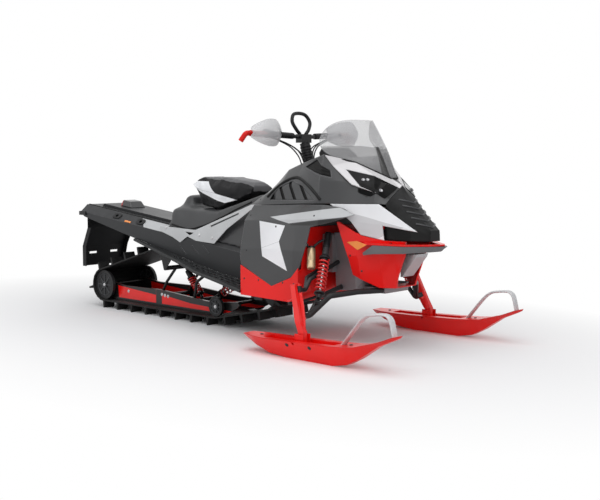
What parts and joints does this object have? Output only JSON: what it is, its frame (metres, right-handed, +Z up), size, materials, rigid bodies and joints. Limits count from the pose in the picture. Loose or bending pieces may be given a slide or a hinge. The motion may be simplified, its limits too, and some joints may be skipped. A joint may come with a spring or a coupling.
{
  "type": "snowmobile",
  "caption": "Single-track snowmobile with a hooded body, long seat, rear tunnel and snow flap, coil-sprung front arms, and skis that the handlebar steers and that pitch on their spindles.",
  "frame": {"origin": "on the snow surface, on the middle plane, halfway between the ski tips and the end of the snow flap", "axes": "+X forwards to the ski tips, +Y to the rider's left, +Z up"},
  "size_m": [3.0222, 1.246, 1.263],
  "materials": {
    "track_rubber": "moulded rubber with lugs",
    "black_plastic": "grained black plastic",
    "charcoal_plastic": "satin charcoal plastic",
    "red_plastic": "gloss bright red",
    "white_plastic": "gloss white",
    "grey_plastic": "matte grey",
    "red_rail": "gloss red paint",
    "dark_metal": "satin black paint",
    "tunnel_metal": "satin charcoal paint",
    "silver_metal": "brushed aluminium",
    "spring_red": "gloss red spring wire",
    "reservoir_gold": "tan anodised",
    "pale_loop": "pale grey plastic",
    "seat_vinyl": "black vinyl",
    "screen_smoke": "smoke tint",
    "lamp_lens": "clear lens",
    "tail_lens": "red lens",
    "guard_clear": "pale translucent",
    "engine_metal": "cast",
    "grip_red": "soft red grip"
  },
  "bodies": {
    "chassis": {"belly_nose": "red_plastic", "belly_pan": "red_plastic", "bulkhead": "silver_metal", "cargo_anchors": "black_plastic", "carrier_wheels": "black_plastic", "drive_axle": "dark_metal", "engine": "engine_metal", "front_arms": "dark_metal", "front_bumper": "grey_plastic", "front_shocks": "spring_red", "gauge": "black_plastic", "guide_wheels": "black_plastic", "headlamps": "lamp_lens", "hood": "charcoal_plastic", "intake_grilles": "black_plastic", "lamp_trim": "white_plastic", "nose": "black_plastic", "nose_panels": "white_plastic", "nose_plate": "dark_metal", "rear_bumper": "dark_metal", "rear_idlers": "black_plastic", "running_boards": "dark_metal", "seat": "seat_vinyl", "seat_base": "charcoal_plastic", "shock_reservoirs": "reservoir_gold", "side_braces": "silver_metal", "side_panels": "charcoal_plastic", "side_vents": "black_plastic", "skid_arms": "dark_metal", "skid_brackets": "dark_metal", "skid_shocks": "spring_red", "slide_rails": "red_rail", "snow_flap": "black_plastic", "tail_light": "tail_lens", "track": "track_rubber", "tunnel": "tunnel_metal", "windshield": "screen_smoke"},
    "handlebars": {"steering_post": "dark_metal", "handlebar": "dark_metal", "grips": "grip_red", "controls": "black_plastic", "hand_guards": "guard_clear", "grab_ring": "black_plastic"},
    "right_spindle": {"spindle_right": "red_rail"},
    "left_spindle": {"spindle_left": "red_rail"},
    "right_tie_rod": {"tie_rod_right": "dark_metal"},
    "left_tie_rod": {"tie_rod_left": "dark_metal"},
    "right_ski": {"ski_right": "red_plastic", "ski_loop_right": "pale_loop"},
    "left_ski": {"ski_left": "red_plastic", "ski_loop_left": "pale_loop"}
  },
  "joints": [
    {"name": "steering", "type": "hinge", "parent": "chassis", "child": "handlebars", "pos_m": [0.418, 0, 1.105], "axis": [-0.284, 0, 0.9588], "range_deg": [-35, 35]},
    {"name": "right_kingpin", "type": "hinge", "parent": "chassis", "child": "right_spindle", "pos_m": [0.878, -0.512, 0.19], "axis": [-0.3422, 0.1711, 0.9239], "range_deg": [-30, 30]},
    {"name": "right_tie_rod_pin", "type": "hinge", "parent": "right_spindle", "child": "right_tie_rod", "pos_m": [0.7744, -0.4975, 0.2684], "axis": [-0.3422, 0.1711, 0.9239], "range_deg": [-30, 30]},
    {"name": "right_ski_pitch", "type": "hinge", "parent": "right_spindle", "child": "right_ski", "pos_m": [0.905, -0.545, 0.088], "axis": [0, 1, 0], "range_deg": [-15, 10]},
    {"name": "left_kingpin", "type": "hinge", "parent": "chassis", "child": "left_spindle", "pos_m": [0.878, 0.512, 0.19], "axis": [-0.3422, -0.1711, 0.9239], "range_deg": [-30, 30]},
    {"name": "left_tie_rod_pin", "type": "hinge", "parent": "left_spindle", "child": "left_tie_rod", "pos_m": [0.7744, 0.4975, 0.2684], "axis": [-0.3422, -0.1711, 0.9239], "range_deg": [-30, 30]},
    {"name": "left_ski_pitch", "type": "hinge", "parent": "left_spindle", "child": "left_ski", "pos_m": [0.905, 0.545, 0.088], "axis": [0, 1, 0], "range_deg": [-15, 10]}
  ],
  "couplings": [
    {"joint": "right_kingpin", "follows": "steering", "ratio": 0.8},
    {"joint": "right_tie_rod_pin", "follows": "steering", "ratio": -0.8},
    {"joint": "left_kingpin", "follows": "steering", "ratio": 0.8},
    {"joint": "left_tie_rod_pin", "follows": "steering", "ratio": -0.8}
  ]
}
